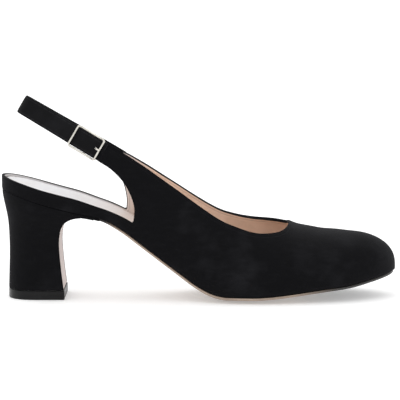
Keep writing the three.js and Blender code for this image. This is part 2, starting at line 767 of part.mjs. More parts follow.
// Where the buckle's bars lie beside the strap, and the frame of the buckle in that of the sling.
const clearOfStrap = strapThickness / 2 + gap * 1.8;
const buckleHalfHeight = strapWidth / 2 + gap * 1.5 + barWidth;
const prongBarX = -buckleLength * 0.5;
const prongHoleX = -barWidth * 3;
const buckleFrame = new THREE.Matrix4()
  .makeTranslation(0, slingOuterY, 0)
  .multiply(new THREE.Matrix4().makeRotationZ(-buckleTurn));

// A cross bar of the buckle: it bridges the strap on one side and ends at the long bars.
function crossBar(x, out) {
  const base = -out * (barDepth / 2);
  const under = out * clearOfStrap;
  const top = out * (clearOfStrap + barDepth);
  const inside = buckleHalfHeight - barWidth;
  const points = [
    [-buckleHalfHeight, base], [-buckleHalfHeight, top], [buckleHalfHeight, top], [buckleHalfHeight, base],
    [inside, base], [inside, under], [-inside, under], [-inside, base],
  ];
  const shape = new THREE.Shape(points.map(([z, y]) => new THREE.Vector2(y, z)));
  const piece = new THREE.ExtrudeGeometry(shape, { depth: barWidth, bevelEnabled: false });
  piece.applyMatrix4(new THREE.Matrix4().set(
    0, 0, 1, x,
    1, 0, 0, 0,
    0, 1, 0, 0,
    0, 0, 0, 1,
  ));
  return piece;
}

// The frame: two long bars beside the strap, two cross bars over it and one behind for the prong.
function buckleSolid() {
  const pieces = [crossBar(-buckleLength, -1), crossBar(-barWidth, -1), crossBar(prongBarX, 1)];
  for (const side of [-1, 1]) {
    const trim = 2 * barSlim;
    const long = new THREE.BoxGeometry(buckleLength - trim, barDepth - trim, barWidth - trim);
    long.translate(-buckleLength / 2, 0, side * (buckleHalfHeight - barWidth / 2));
    pieces.push(long);
  }
  return pieces
    .map((piece) => solidOf(piece.applyMatrix4(buckleFrame)))
    .reduce((whole, piece) => whole.add(piece));
}

// The prong: from its bar along the back of the strap, out through the hole and over the front bar.
function prongGeometry(radius) {
  const behind = clearOfStrap + prongRadius;
  const over = -clearOfStrap - barDepth - gap - prongRadius;
  const points = [
    [prongBarX + barWidth + gap, behind],
    [prongHoleX - barWidth * 1.3, behind],
    [prongHoleX, 0],
    [prongHoleX + barWidth * 0.8, over * 0.8],
    [-barWidth * 1.3, over],
    [barWidth * 0.25, over],
  ].map(([x, y]) => new THREE.Vector3(x, y, 0));
  const way = new THREE.CatmullRomCurve3(points, false, 'centripetal');
  const round = new THREE.Shape();
  round.absarc(0, 0, radius, 0, Math.PI * 2);
  const sweep = { steps: 22, curveSegments: 4, extrudePath: way, bevelEnabled: false };
  return new THREE.ExtrudeGeometry(round, sweep);
}

// Turns a solid from the frame of the sling into the shoe, rolled down towards the inner side.
function inShoe(solid) {
  const drop = slingInnerX * Math.sin(strapFall) + innerSlingZ - slingOrigin.z;
  const fall = drop / (slingInnerY - slingOuterY);
  const place = new THREE.Matrix4()
    .makeTranslation(slingOrigin.x, 0, slingOrigin.z)
    .multiply(new THREE.Matrix4().makeRotationY(strapFall))
    .multiply(new THREE.Matrix4().set(
      1, 0, 0, 0,
      0, 1, 0, 0,
      0, fall, 1, -fall * slingOuterY,
      0, 0, 0, 1,
    ));
  return solid.transform(place.elements);
}

const model = new THREE.Group();
model.add(meshOf('upper', upperSolid(), suede));
model.add(meshOf('outsole', soleSolid(0), soleLeather));
model.add(meshOf('heel', heelSolid(), suede));
model.add(meshOf('toplift', topliftSolid(), rubber));
model.add(meshOf('insole', insoleSolid(), sockLeather));
model.add(meshOf('sling_strap', inShoe(slingStrapSolid()), suede));
model.add(meshOf('buckle_frame', inShoe(buckleSolid()), champagneMetal));
const prong = solidOf(prongGeometry(prongRadius).applyMatrix4(buckleFrame));
model.add(meshOf('buckle_prong', inShoe(prong), champagneMetal));

export default model;
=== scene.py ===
import math

import bmesh
import bpy
import numpy as np
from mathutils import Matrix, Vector


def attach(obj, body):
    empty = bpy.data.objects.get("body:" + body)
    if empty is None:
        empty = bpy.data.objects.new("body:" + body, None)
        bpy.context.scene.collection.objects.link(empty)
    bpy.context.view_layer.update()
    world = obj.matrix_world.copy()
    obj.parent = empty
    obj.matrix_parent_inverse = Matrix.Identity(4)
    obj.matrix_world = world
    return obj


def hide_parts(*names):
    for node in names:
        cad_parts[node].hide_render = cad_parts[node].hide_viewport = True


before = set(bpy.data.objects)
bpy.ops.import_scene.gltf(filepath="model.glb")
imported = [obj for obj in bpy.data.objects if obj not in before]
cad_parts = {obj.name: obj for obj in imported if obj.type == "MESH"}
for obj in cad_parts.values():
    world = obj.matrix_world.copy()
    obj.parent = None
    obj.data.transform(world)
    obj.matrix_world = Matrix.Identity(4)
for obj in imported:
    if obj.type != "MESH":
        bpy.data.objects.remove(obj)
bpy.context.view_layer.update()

# The photograph's view: square to the outer side of the shoe and a little above it, from about
# 1.3 m with a long lens. The target is the point of the shoe at the middle of the picture.
MM = 0.001
elevation = math.radians(6.5)
distance = 1300 * MM
target = Vector((97.3 * MM, 0, 57.9 * MM))
camera_data = bpy.data.cameras.new("camera")
camera_data.sensor_width = 36
camera_data.lens = 195
camera = bpy.data.objects.new("camera", camera_data)
camera.location = target + distance * Vector((0, -math.cos(elevation), math.sin(elevation)))
camera.rotation_euler = (math.pi / 2 - elevation, 0, 0)
bpy.context.scene.collection.objects.link(camera)
bpy.context.scene.camera = camera


# The studio: a white sweep of paper that the light burns out, one large soft light from above
# and behind, one from the front, and an even white surround that fills the shadows.
class Socket:
    """A socket in a material, on which Python's operators add Math nodes."""

    def __init__(self, build, socket):
        self.build = build
        self.socket = socket

    def math(self, operation, *values):
        return self.build.node("ShaderNodeMath", {"operation": operation}, dict(enumerate(values)))

    def __add__(self, other):
        return self.math("ADD", self, other)

    def __radd__(self, other):
        return self.math("ADD", other, self)

    def __sub__(self, other):
        return self.math("SUBTRACT", self, other)

    def __rsub__(self, other):
        return self.math("SUBTRACT", other, self)

    def __mul__(self, other):
        return self.math("MULTIPLY", self, other)

    def __rmul__(self, other):
        return self.math("MULTIPLY", other, self)

    def __truediv__(self, other):
        return self.math("DIVIDE", self, other)

    def __rtruediv__(self, other):
        return self.math("DIVIDE", other, self)

    def __lt__(self, other):
        return self.math("LESS_THAN", self, other)

    def __gt__(self, other):
        return self.math("GREATER_THAN", self, other)

    def clamped(self):
        return self.build.node("ShaderNodeClamp", {}, {"Value": self})


class Finish:
    """A material whose nodes are added one call at a time."""

    def __init__(self, name):
        self.material = bpy.data.materials.new(name)
        self.material.use_nodes = True
        self.tree = self.material.node_tree
        self.tree.nodes.clear()
        self.shader = self.tree.nodes.new("ShaderNodeBsdfPrincipled")
        output = self.tree.nodes.new("ShaderNodeOutputMaterial")
        self.tree.links.new(self.shader.outputs[0], output.inputs["Surface"])

    def node(self, kind, settings, inputs, output=0):
        node = self.tree.nodes.new(kind)
        for name, value in settings.items():
            setattr(node, name, value)
        for name, value in inputs.items():
            self.feed(node.inputs[name], value)
        return Socket(self, node.outputs[output])

    def feed(self, socket, value):
        if isinstance(value, Socket):
            self.tree.links.new(value.socket, socket)
        elif isinstance(value, tuple) and len(value) == 3 and len(socket.default_value) == 4:
            socket.default_value = (*value, 1)
        else:
            socket.default_value = value

    def surface(self, **inputs):
        for name, value in inputs.items():
            self.feed(self.shader.inputs[name.replace("_", " ")], value)

    def place(self):
        return self.node("ShaderNodeTexCoord", {}, {}, "Object")

    def coordinate(self, axis):
        return self.node("ShaderNodeSeparateXYZ", {}, {"Vector": self.place()}, axis)

    def noise(self, size, detail=2, roughness=0.5, at=None):
        inputs = {"Vector": at or self.place(), "Scale": 1 / size, "Detail": detail, "Roughness": roughness}
        return self.node("ShaderNodeTexNoise", {}, inputs, "Fac")

    def stretched(self, factors, turn=(0, 0, 0)):
        inputs = {"Vector": self.place(), "Scale": factors, "Rotation": turn}
        return self.node("ShaderNodeMapping", {}, inputs)

    def mix(self, factor, first, second):
        inputs = {0: factor, 6: first, 7: second}
        return self.node("ShaderNodeMix", {"data_type": "RGBA"}, inputs, 2)

    def spread(self, value, low, high):
        inputs = {"Value": value, "From Min": low, "From Max": high}
        return self.node("ShaderNodeMapRange", {}, inputs)

    def bump(self, height, depth, strength=1.0):
        inputs = {"Height": height, "Distance": depth, "Strength": strength}
        return self.node("ShaderNodeBump", {}, inputs)

    def attribute(self, name):
        return self.node("ShaderNodeAttribute", {"attribute_name": name}, {}, "Fac")


floor_half, floor_drop = 14.0, 0.0002
floor_mesh = bpy.data.meshes.new("floor")
sheet_corners = [(x * floor_half, y * floor_half, 0) for x, y in ((-1, -1), (1, -1), (1, 1), (-1, 1))]
floor_mesh.from_pydata(sheet_corners, [], [(0, 1, 2, 3)])
floor = bpy.data.objects.new("floor", floor_mesh)
floor.location.z = -floor_drop
bpy.context.scene.collection.objects.link(floor)
paper = Finish("paper")
paper.surface(
    Base_Color=(0.8, 0.8, 0.8), Roughness=0.9, Emission_Color=(1, 1, 1), Emission_Strength=0.3,
)
floor_mesh.materials.append(paper.material)

world = bpy.data.worlds.new("studio")
bpy.context.scene.world = world
world.use_nodes = True
surround = world.node_tree.nodes["Background"].inputs
surround["Color"].default_value = (1, 1, 1, 1)
surround["Strength"].default_value = 1.12
for name, place, size, power in (
    ("top_light", (0.0, 0.4, 1.8), 2.4, 9.0),
    ("front_light", (-0.8, -1.6, 1.3), 1.6, 5.0),
):
    lamp_data = bpy.data.lights.new(name, "AREA")
    lamp_data.size = size
    lamp_data.energy = power
    lamp = bpy.data.objects.new(name, lamp_data)
    lamp.location = place
    lamp.rotation_euler = (target - Vector(place)).to_track_quat("-Z", "Y").to_euler()
    bpy.context.scene.collection.objects.link(lamp)
bpy.context.scene.view_settings.view_transform = "Standard"


# The last: the wooden form that the shoe is made on, which gives every piece its shape. Sizes
# are in millimetres from the middle of the toplift; tables give shares of the sizes above them.
shoe_length = 236.4
heel_back = -21.3
seat_half, outer_waist, inner_waist, outer_ball, inner_ball = 26.5, 24.8, 22.6, 37, 39
toe_swing = 5
heel_rise, toe_spring, camber_height = 64.3, 14, 2.1
instep_height, side_height, toe_box_height, band_height = 75, 48.6, 28.6, 8.3
widest_level, inner_rise = 9, 4.6
sole_thickness, waist_thickness = 1.4, 1.2
gap, seam_ease = 0.3, 0.2
feather_tuck = 2.4
bottom_rows = np.array([  # along, heel rise, toe spring, camber, thinness
    (0, 1, 0, 0, 1), (0.043, 0.95, 0, 0, 1), (0.103, 0.879, 0, 0, 1), (0.178, 0.806, 0, 0, 1),
    (0.251, 0.743, 0, 0, 1), (0.302, 0.645, 0, 0, 1), (0.352, 0.508, 0, 0, 1),
    (0.402, 0.366, 0, 0.05, 0.9), (0.452, 0.222, 0, 0.3, 0.6), (0.477, 0.149, 0, 0.5, 0.4),
    (0.502, 0.084, 0, 0.72, 0.2), (0.527, 0.036, 0, 0.88, 0.1), (0.552, 0.008, 0, 0.97, 0),
    (0.57, 0, 0, 1, 0), (0.635, 0, 0, 1, 0), (0.676, 0, 0.04, 0.98, 0), (0.726, 0, 0.145, 0.88, 0),
    (0.801, 0, 0.34, 0.64, 0), (0.877, 0, 0.5, 0.5, 0), (0.93, 0, 0.7, 0.4, 0), (1, 0, 0.99, 0.2, 0),
])
outer_rows = np.array([  # along, seat, waist, ball
    (0, 1, 0, 0), (0.114, 1, 0, 0), (0.217, 0.7, 0.3, 0), (0.323, 0, 1, 0), (0.407, 0, 0.93, 0.07),
    (0.492, 0, 0.56, 0.44), (0.577, 0, 0.15, 0.85), (0.64, 0, 0, 1), (1, 0, 0, 1),
])
inner_rows = np.array([
    (0, 1, 0, 0), (0.114, 1, 0, 0), (0.217, 0.6, 0.4, 0), (0.323, 0, 1, 0), (0.407, 0, 0.99, 0.01),
    (0.492, 0, 0.72, 0.28), (0.598, 0, 0.26, 0.74), (0.7246, 0, 0, 1), (1, 0, 0, 1),
])
last_rows = np.array([  # along, instep, toe box, widest level, tuck, squareness, swing
    (0, 1.01, 0, 0.67, 0.15, 2.3, 0), (0.27, 1.03, 0, 0.78, 0.2, 2.3, 0),
    (0.35, 1, 0, 0.89, 0.4, 2.3, 0.1), (0.43, 0.95, 0, 1, 0.6, 2.3, 0.25),
    (0.5, 0.925, 0, 1, 0.8, 2.25, 0.45), (0.56, 0.84, 0, 1, 1, 2.2, 0.65),
    (0.64, 0.655, 0, 1, 1, 2.2, 0.85), (0.73, 0.518, 0, 1, 1, 2.2, 0.97),
    (0.78, 0.2275, 0.602, 0.94, 1, 2.25, 1), (0.83, 0, 1.086, 0.89, 1, 2.3, 1),
    (0.88, 0, 1, 0.78, 0.9, 2.35, 1), (1, 0, 0.765, 0.38, 0.35, 2.3, 1),
])
heel_round_end, heel_round_power = 0.114, 2.2
outer_toe_start, inner_toe_start, toe_round_power = 0.64, 0.7246, 2.05
toe_drop_start, toe_drop_power = 0.872, 2.4


def curve(rows, column, place):
    """A smooth curve through one column of a table, without overshoot between its rows."""
    at, value = rows[:, 0], rows[:, column]
    secant = np.diff(value) / np.diff(at)
    slope = np.zeros(len(at))
    slope[0], slope[-1] = secant[0], secant[-1]
    product = secant[:-1] * secant[1:]
    total = secant[:-1] + secant[1:]
    slope[1:-1] = np.where(product > 0, 2 * product / np.where(total == 0, 1, total), 0)
    place = np.asarray(place, float)
    i = np.clip(np.searchsorted(at, place) - 1, 0, len(at) - 2)
    span = at[i + 1] - at[i]
    t = np.clip((place - at[i]) / span, 0, 1)
    rest = 1 - t
    start = value[i] * (1 + 2 * t) * rest * rest + slope[i] * span * t * rest * rest
    return start + value[i + 1] * (3 - 2 * t) * t * t - slope[i + 1] * span * t * t * rest


def soft_curve(rows, column, place):
    """The same curve, averaged over a few millimetres so that no row shows as a kink."""
    start, end, reach = rows[0, 0], rows[-1, 0], 0.02
    window = [np.clip(place + step, start, end) for step in np.linspace(-reach, reach, 9)]
    return np.mean([curve(rows, column, near) for near in window], axis=0)


def place_of(along):
    return heel_back + along * shoe_length


def share_of(x):
    return (x - heel_back) / shoe_length


def middle_height(along):
    return curve(bottom_rows, 1, along) * heel_rise + curve(bottom_rows, 2, along) * toe_spring


def camber_at(along):
    return curve(bottom_rows, 3, along) * camber_height


def thickness_at(along):
    thin = curve(bottom_rows, 4, along)
    return sole_thickness * (1 - thin) + waist_thickness * thin


def camber_share(across):
    flat = 0.4
    return (np.maximum(0, np.abs(across) - flat) / (1 - flat)) ** 2


def feather(along):
    """Height of the line where the upper meets the sole or the heel."""
    step = 0.004
    before, after = np.maximum(0, along - step), np.minimum(1, along + step)
    lean = np.hypot(1, (middle_height(after) - middle_height(before)) / ((after - before) * shoe_length))
    return middle_height(along) + camber_at(along) + (thickness_at(along) + gap + seam_ease) * lean


def rounded(place, start, end, power):
    share = np.clip((place - start) / (end - start), 0, 1)
    return (1 - share ** power) ** (1 / power)


def outline(along, inset):
    """Middle, outer edge and inner edge of the last seen from above."""
    shorter = inset / shoe_length
    middle = curve(last_rows, 6, along) * toe_swing
    outer_full = (curve(outer_rows, 1, along) * seat_half + curve(outer_rows, 2, along) * outer_waist
                  + curve(outer_rows, 3, along) * outer_ball)
    inner_full = (curve(inner_rows, 1, along) * seat_half + curve(inner_rows, 2, along) * inner_waist
                  + curve(inner_rows, 3, along) * inner_ball)
    heel_share = rounded(heel_round_end - along, 0, heel_round_end - shorter, heel_round_power)
    outer_share = heel_share * rounded(along, outer_toe_start, 1 - shorter, toe_round_power)
    inner_share = heel_share * rounded(along, inner_toe_start, 1 - shorter, toe_round_power)
    outer_edge = middle - (outer_full + middle - inset) * outer_share
    inner_edge = middle + (inner_full - middle - inset) * inner_share
    return middle, outer_edge, inner_edge


def ridge(along, inset):
    base = feather(along) + curve(last_rows, 3, along) * widest_level * 0.5
    full = (feather(along) + soft_curve(last_rows, 1, along) * instep_height
            + soft_curve(last_rows, 2, along) * toe_box_height - inset)
    return base + (full - base) * rounded(along, toe_drop_start, 1 - inset / shoe_length, toe_drop_power)


def wall_curve(along, side, inset, count):
    """Points up one side of the last, evenly spaced from the feather line to the ridge."""
    tuck_turn = math.radians(60)
    middle, outer_edge, inner_edge = outline(along, inset)
    span = (outer_edge if side < 0 else inner_edge) - middle
    low = float(feather(along))
    drop = rounded(along, toe_drop_start, 1 - inset / shoe_length, toe_drop_power) ** 0.5
    level = low + curve(last_rows, 3, along) * widest_level * drop
    high = max(float(ridge(along, inset)), float(level))
    power = 2 / curve(last_rows, 5, along)
    tuck = curve(last_rows, 4, along) * feather_tuck
    shrink = 0 if abs(span) < tuck else tuck / abs(span)
    turn = np.linspace(tuck_turn, 0, 16)
    y_low = middle + span * (1 - shrink * (1 - np.cos(turn)) / (1 - math.cos(tuck_turn)))
    z_low = level - (level - low) * np.sin(turn) / math.sin(tuck_turn)
    turn = np.linspace(0, math.pi / 2, 90)[1:]
    y_high = middle + span * np.cos(turn).clip(0) ** power
    z_high = level + (high - level) * np.sin(turn) ** power
    y, z = np.concatenate([y_low, y_high]), np.concatenate([z_low, z_high])
    y[-1] = middle
    way = np.concatenate([[0], np.cumsum(np.hypot(np.diff(y), np.diff(z)) + 1e-6)])
    at = np.linspace(0, way[-1], count)
    return np.interp(at, way, y), np.interp(at, way, z)


def even_stations(count, inset):
    """Places along the shoe, evenly spaced round the outline seen from above."""
    shorter = inset / shoe_length
    fine = shorter + (1 - 2 * shorter) * (1 - np.cos(np.linspace(0, math.pi, 1500))) / 2
    _, outer_edge, inner_edge = outline(fine, inset)
    step = np.hypot(np.diff(fine) * shoe_length, np.diff(outer_edge) / 2 - np.diff(inner_edge) / 2)
    way = np.concatenate([[0], np.cumsum(step)])
    return np.interp(np.linspace(0, way[-1], count), way, fine)


# The upper: black goat suede, lined with pale leather, cut as one piece with a low vamp, two
# quarters that rise to the sling and a band round the seat. Its top edge is folded over and
# stitched, its bottom edge is lasted under the insole. The wall is 1.7 mm thick.
topline_rows = np.array([
    (0.2675, 0.945), (0.303, 0.945), (0.35, 0.97), (0.41, 0.985), (0.46, 0.99), (0.502, 0.985),
    (0.53, 0.955), (0.56, 0.905), (0.6, 0.83), (0.65, 0.758), (0.69, 0.748), (0.73, 0.758),
])
inner_lift_rows = np.array([
    (0.25, -1), (0.305, -0.783), (0.35, -0.565), (0.41, -0.304), (0.48, -0.1), (0.53, 0.07),
    (0.6, 0.42), (0.65, 0.87), (0.69, 0.72), (0.73, 0.05),
])
rim_rows = np.array([
    (0, 0.9), (0.025, 0.93), (0.104, 1), (0.179, 1), (0.253, 0.79), (0.3025, 0.94), (0.335, 1.07),
])
quarter_rows = np.array([
    (0, 0), (-0.035, 0.2), (0, 0.33), (0.09, 0.47), (0.21, 0.6), (0.38, 0.73), (0.64, 0.87), (1, 1),
])
outer_corner, inner_corner, outer_sling, inner_sling, throat = 0.335, 0.312, 0.2675, 0.305, 0.728
strap_width = 11.2
strap_fall = math.radians(30.4)
throat_round, throat_round_start = 3, 0.695
wall, pattern_half = 1.7, 22
suede_colour, suede_worn = (0.0022, 0.0022, 0.0029), (0.0098, 0.0099, 0.0116)
lining_colour, lining_shade = (0.84, 0.62, 0.49), (0.68, 0.49, 0.37)
seat_lining_colour, seam_shade = (0.6, 0.58, 0.58), (0.28, 0.2, 0.16)
brushed_spots = ((184, -16, 37), 11), ((174, -28, 28), 9), ((120, -33, 16), 14)  # place, reach


def smooth_line(points, count):
    """A smooth line through points, evenly spaced by number."""
    points = np.array(points, float)
    padded = np.vstack([2 * points[0] - points[1], points, 2 * points[-1] - points[-2]])
    out = []
    for t in np.linspace(0, len(points) - 1, count):
        i = min(int(t), len(points) - 2)
        f = t - i
        a, b, c, d = padded[i:i + 4]
        out.append(0.5 * (2 * b + (c - a) * f + (2 * a - 5 * b + 4 * c - d) * f * f
                          + (3 * b - a - 3 * c + d) * f ** 3))
    return np.array(out)


def rim_height(along):
    return feather(along) + curve(rim_rows, 1, along) * band_height


def edge_height(along, lift):
    rise = feather(along) + soft_curve(topline_rows, 1, along) * side_height
    return rise + lift * soft_curve(inner_lift_rows, 1, along) * inner_rise


def collar_profile(corner, sling, lift):
    """What lies above the edge of the upper on one side, as a closed line seen from the side."""
    margin, clear_of_seat = 30, 9
    above, behind = heel_rise + instep_height + margin, heel_back - margin
    corner_point = np.array([place_of(corner), float(rim_height(corner))])
    top = np.array([place_of(sling), float(edge_height(sling, lift))])
    low = top - strap_width * np.array([math.sin(strap_fall), math.cos(strap_fall)])
    seat = np.linspace(0, corner, 30)
    rim = np.column_stack([place_of(seat), rim_height(seat)])
    arc = smooth_line([(corner_point + (low - corner_point) * row) for row in quarter_rows], 40)
    way = np.linspace(sling, throat, 60)
    edge = np.column_stack([place_of(way), edge_height(way, lift)])
    near_throat = np.clip((way - throat_round_start) / (throat - throat_round_start), 0, 1)
    edge[:, 1] += (1 - lift) * throat_round * near_throat ** 3
    start = [(behind, above), (behind, rim[0, 1] + clear_of_seat)]
    return np.vstack([start, rim, arc[1:], edge, [(place_of(throat) + margin, above)]])


def edge_distance(points):
    """Signed distance in the side view from the edge of the upper, positive on the leather."""
    outer_line = collar_profile(outer_corner, outer_sling, 0)
    inner_line = collar_profile(inner_corner, inner_sling, 1)
    result = []
    for x, y, z in points:
        t = min(1, max(0, (y + pattern_half) / (2 * pattern_half)))
        line = outer_line * (1 - t) + inner_line * t
        ahead = np.roll(line, -1, axis=0)
        side = ahead - line
        reach_to = np.array([x, z]) - line
        share = np.clip((reach_to * side).sum(1) / (side * side).sum(1), 0, 1)
        gap_to = np.hypot(*(reach_to - share[:, None] * side).T).min()
        rising = (line[:, 1] > z) != (ahead[:, 1] > z)
        safe = np.where(side[:, 1] == 0, 1, side[:, 1])
        crossing = line[:, 0] + side[:, 0] * (z - line[:, 1]) / safe
        inside = (rising & (x < crossing)).sum() % 2 == 1
        result.append(-gap_to if inside else gap_to)
    return np.array(result)


def mesh_object(name, points, faces, *finishes, smooth=True):
    mesh = bpy.data.meshes.new(name)
    mesh.from_pydata([tuple(point) for point in points], [], faces)
    mesh.validate()
    for finish in finishes:
        mesh.materials.append(finish)
    mesh.polygons.foreach_set("use_smooth", [smooth] * len(mesh.polygons))
    piece = bpy.data.objects.new(name, mesh)
    bpy.context.scene.collection.objects.link(piece)
    return piece


def applied(piece, *modifiers):
    """Adds modifiers and keeps their result, smooth, as the piece's own mesh."""
    for kind, settings in modifiers:
        modifier = piece.modifiers.new(kind.lower(), kind)
        for name, value in settings.items():
            setattr(modifier, name, value)
    view = bpy.context.evaluated_depsgraph_get()
    mesh = bpy.data.meshes.new_from_object(piece.evaluated_get(view))
    piece.modifiers.clear()
    old = piece.data
    piece.data = mesh
    bpy.data.meshes.remove(old)
    mesh.name = piece.name
    mesh.polygons.foreach_set("use_smooth", [True] * len(mesh.polygons))


def facing_out(piece, merged=0.004):
    """Drops loose points, merges those that meet and turns every face outward."""
    clean = bmesh.new()
    clean.from_mesh(piece.data)
    bmesh.ops.delete(clean, geom=[v for v in clean.verts if not v.link_faces], context="VERTS")
    bmesh.ops.remove_doubles(clean, verts=clean.verts, dist=merged * MM)
    bmesh.ops.recalc_face_normals(clean, faces=clean.faces)
    clean.to_mesh(piece.data)
    clean.free()
    return piece


def marked(piece, name, values):
    """Keeps one number at each point of a piece, for its material to read."""
    numbers = piece.data.attributes.new(name, "FLOAT", "POINT")
    numbers.data.foreach_set("value", np.asarray(values, np.float32))


def upper_sheet(length_steps, side_steps):
    """The outside of the upper as a grid whose edge vertices lie on the edge of the leather."""
    grid = []
    for along in even_stations(length_steps, 0.02):
        y_out, z_out = wall_curve(along, -1, 0, side_steps)
        y_in, z_in = wall_curve(along, 1, 0, side_steps)
        x = np.full(2 * side_steps - 1, place_of(along))
        y = np.concatenate([y_out, y_in[-2::-1]])
        z = np.concatenate([z_out, z_in[-2::-1]])
        grid.append(np.column_stack([x, y, z]))
    grid = np.array(grid)
    rows, columns, _ = grid.shape
    points = grid.reshape(-1, 3)
    away = edge_distance(points)
    moved = points.copy()
    nearest = np.full(len(points), 0.5)
    on_edge = np.zeros(len(points), bool)
    index = np.arange(rows * columns).reshape(rows, columns)
    pairs = [(index[:-1].ravel(), index[1:].ravel()), (index[:, :-1].ravel(), index[:, 1:].ravel())]
    for first, second in pairs + [(b, a) for a, b in pairs]:
        crossed = (away[first] > 0) != (away[second] > 0)
        for a, b in zip(first[crossed], second[crossed]):
            share = away[a] / (away[a] - away[b])
            if share <= nearest[a]:
                nearest[a] = share
                on_edge[a] = True
                moved[a] = points[a] + (points[b] - points[a]) * share
    keep = (away > 0) | on_edge
    faces = []
    for i in range(rows - 1):
        for j in range(columns - 1):
            quad = [index[i, j], index[i + 1, j], index[i + 1, j + 1], index[i, j + 1]]
            kept = [int(v) for v in quad if keep[v]]
            inner = [v for v in kept if not on_edge[v]]
            if len(kept) >= 3 and inner:
                faces.append(kept)
    for row in (index[0], index[-1]):
        for j in range(side_steps - 1):
            kept = [int(v) for v in (row[j], row[j + 1], row[-2 - j], row[-1 - j]) if keep[v]]
            if len(set(kept)) >= 3:
                faces.append(kept)
    return moved, faces, np.where(on_edge, 0, away)


def suede(name, fade=1.0, seam=0.0):
    """Matt black suede: a short nap that lies in soft lighter and darker patches."""
    finish = Finish(name)
    nap = finish.noise(0.5 * MM, 3, 0.6)
    streaks = finish.noise(2.5 * MM, 3, 0.6, finish.stretched((0.35, 1, 1)))
    patches = finish.noise(26 * MM, 3, 0.55)
    rubbed = finish.spread(patches, 0.52, 0.74) * 0.7 * fade + finish.spread(streaks, 0.45, 0.8) * 0.25
    for spot, reach in brushed_spots:
        ends = {0: finish.place(), 1: tuple(value * MM for value in spot)}
        away = finish.node("ShaderNodeVectorMath", {"operation": "DISTANCE"}, ends, "Value")
        rubbed = rubbed + finish.spread(away, reach * MM, 0.0) * streaks * 0.9 * fade
    tone = (rubbed + (nap - 0.5) * 0.5).clamped()
    relief = nap + finish.noise(0.18 * MM, 1) * 0.5
    if seam:
        away = finish.attribute("edge")
        groove = finish.spread(away, 2.3, 1.9) * finish.spread(away, 1.5, 1.9)
        relief = relief - groove * seam
        tone = (tone + groove * 0.12).clamped()
    finish.surface(
        Base_Color=finish.mix(tone, suede_colour, suede_worn),
        Roughness=0.95, Specular_IOR_Level=0.12, Sheen_Weight=0.04, Sheen_Roughness=0.45,
        Sheen_Tint=(0.48, 0.48, 0.54),
        Normal=finish.bump(relief, 0.12 * MM, 0.7),
    )
    return finish.material


def lined_suede():
    """The inside of the upper: pale lining, with the folded suede round its edge."""
    finish = Finish("lining")
    clouds = finish.noise(14 * MM, 3)
    away = finish.attribute("edge")
    fold = finish.spread(away, 0.6, 0.4)
    stitches = finish.spread(away, 2.1, 1.8) * finish.spread(away, 1.3, 1.6)
    pale = finish.mix(finish.spread(clouds, 0.3, 0.7), lining_shade, lining_colour)
    pale = finish.mix(finish.spread(finish.coordinate("X"), 70 * MM, 44 * MM), pale, seat_lining_colour)
    stitched = finish.mix(stitches * 0.35, pale, seam_shade)
    finish.surface(
        Base_Color=finish.mix(fold, stitched, suede_colour),
        Roughness=0.6, Specular_IOR_Level=0.3,
        Normal=finish.bump(finish.noise(0.35 * MM, 2) + fold * 2, 0.12 * MM, 0.5),
    )
    return finish.material


points, faces, away = upper_sheet(230, 58)
upper = mesh_object("upper_leather", points * MM, faces, suede("upper_suede", seam=2.0), lined_suede())
marked(upper, "edge", away)
facing_out(upper, merged=0.05)
applied(
    upper,
    ("SOLIDIFY", {"thickness": wall * MM, "offset": -1, "material_offset": 1, "material_offset_rim": 0}),
    ("BEVEL", {"width": 0.4 * MM, "segments": 2, "limit_method": "ANGLE", "angle_limit": math.radians(50)}),
)
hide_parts("upper")
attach(upper, "root")


# The outsole: thin dressed leather, flat under the ball, arched under the waist and bent down the
# breast of the heel as a flap. Its edge is trimmed square and buffed, painted dark near the heel
# and made darker towards the toe.
flap_inset, sole_inset = 3, 0.5
lift_half = 18.2
flap_start, flap_end, arch_top, breast_waist = 0.335, 0.262, 49.7, 13.6
sole_end, sole_columns = 0.251, 33
tan_dark, tan_pale, tan_fibre = (0.27, 0.205, 0.16), (0.37, 0.29, 0.23), (0.2, 0.15, 0.115)
# The dark colour of the edge, used near the heel and where the edge turns darker towards the toe.
flap_colour, edge_dark = (0.62, 0.52, 0.49), (0.03, 0.028, 0.027)
sharp = math.radians(50)
soft_edge = {"segments": 3, "limit_method": "ANGLE", "angle_limit": sharp, "use_clamp_overlap": False}
breast_rows = np.array([  # forward, share of the arch's height
    (16.6, 1), (12.6, 0.998), (9, 0.988), (5.7, 0.962), (3.3, 0.924), (1.6, 0.868), (0.6, 0.8),
    (0, 0.7), (0.05, 0.6), (0.6, 0.46), (1.4, 0.3), (2.1, 0.19), (2.5, 0.12),
])
heel_rows = np.array([  # share of the heel's height, flare, distance of the back
    (0.05, 0, 3.6), (0.25, 0, 4), (0.45, 0.02, 4.3), (0.6, 0.16, 4.1), (0.7, 0.43, 3.7),
    (0.77, 0.7, 3.1), (0.84, 0.84, 2.2), (0.92, 0.93, 1.1), (1, 0.98, 0.35), (1.2, 0.98, 0.3),
])


def heel_half(z):
    return lift_half + (seat_half - lift_half) * curve(heel_rows, 1, np.asarray(z) / heel_rise)


def breast_line(count):
    """The breast of the heel seen from the side, from the end of the lip down to the toplift."""
    first = (place_of(sole_end), float(middle_height(sole_end)))
    rows = [(breast_waist + forward, up * arch_top) for forward, up in breast_rows]
    return smooth_line([first] + rows, count)


def loft(rings):
    """Points and faces of a closed skin over rings, with both ends filled."""
    size = len(rings[0])
    index = np.arange(len(rings) * size).reshape(len(rings), size)
    low, high = index[:-1], index[1:]
    quads = np.stack([low, np.roll(low, -1, 1), np.roll(high, -1, 1), high], -1).reshape(-1, 4)
    faces = [tuple(int(v) for v in quad) for quad in quads]
    faces += [tuple(int(v) for v in index[0][::-1]), tuple(int(v) for v in index[-1])]
    return np.vstack(rings), faces


